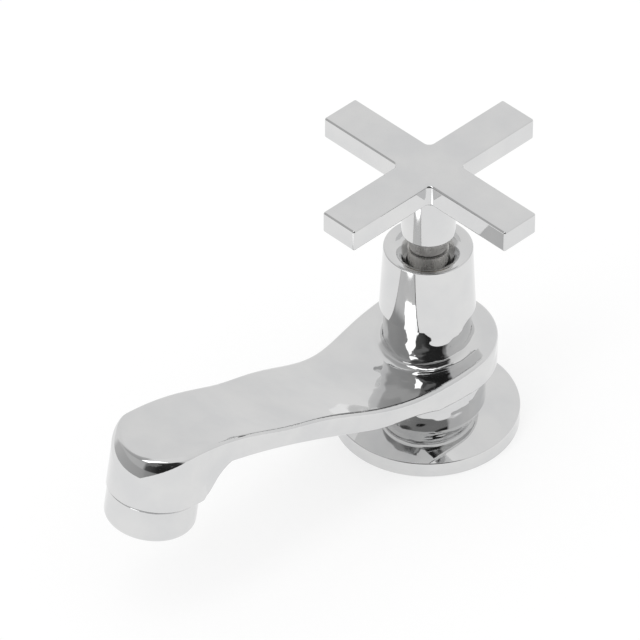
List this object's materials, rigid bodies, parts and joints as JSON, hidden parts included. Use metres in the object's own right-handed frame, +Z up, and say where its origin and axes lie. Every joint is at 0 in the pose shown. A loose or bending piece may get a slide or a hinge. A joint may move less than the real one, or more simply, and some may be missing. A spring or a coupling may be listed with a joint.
{
  "type": "cross handle pillar tap",
  "caption": "Deck-mounted chrome pillar tap with a cross handle on a quarter-turn ceramic valve, a low rising spout and a threaded tail.",
  "frame": {"origin": "centre of the base flange's underside, on the deck", "axes": "+Z up along the column and the handle's axis, the spout points along -Y, X to the right"},
  "size_m": [0.0712, 0.1566, 0.1424],
  "materials": {
    "chrome_plate": "polished chrome plate on brass",
    "dark_steel": "turned, dark",
    "nickel": "turned, nickel plated brass",
    "zinc_steel": "zinc plated",
    "black_steel": "black",
    "brass": "machined",
    "rubber": "matte",
    "fibre": "matte red fibre",
    "ceramic": "lapped",
    "white_plastic": "matte",
    "grey_plastic": "matte",
    "screen_steel": "woven wire"
  },
  "bodies": {
    "tap": {"tap_body": "chrome_plate", "bonnet_cover": "chrome_plate", "base_flange": "chrome_plate", "aerator_housing": "chrome_plate", "cartridge_housing": "nickel", "deck_metal_washer": "zinc_steel", "tail_shank": "brass", "back_nut": "brass", "base_gasket": "rubber", "deck_rubber_washer": "rubber", "seat_seal": "rubber", "cover_o_ring": "rubber", "aerator_seal": "rubber", "tail_seal": "fibre", "housing_gasket": "fibre", "lower_ceramic_disc": "ceramic", "thrust_washer": "white_plastic", "aerator_insert": "grey_plastic", "aerator_screens": "screen_steel"},
    "handle": {"cross_handle": "chrome_plate", "handle_spline_bush": "dark_steel", "handle_grub_screw": "zinc_steel", "spindle": "brass", "spindle_o_rings": "rubber", "spindle_circlip": "black_steel", "upper_ceramic_disc": "ceramic"}
  },
  "joints": [
    {"name": "handle_turn", "type": "hinge", "parent": "tap", "child": "handle", "pos_m": [0, 0, 0.0634], "axis": [0, 0, 1], "range_deg": [0, 90]}
  ]
}
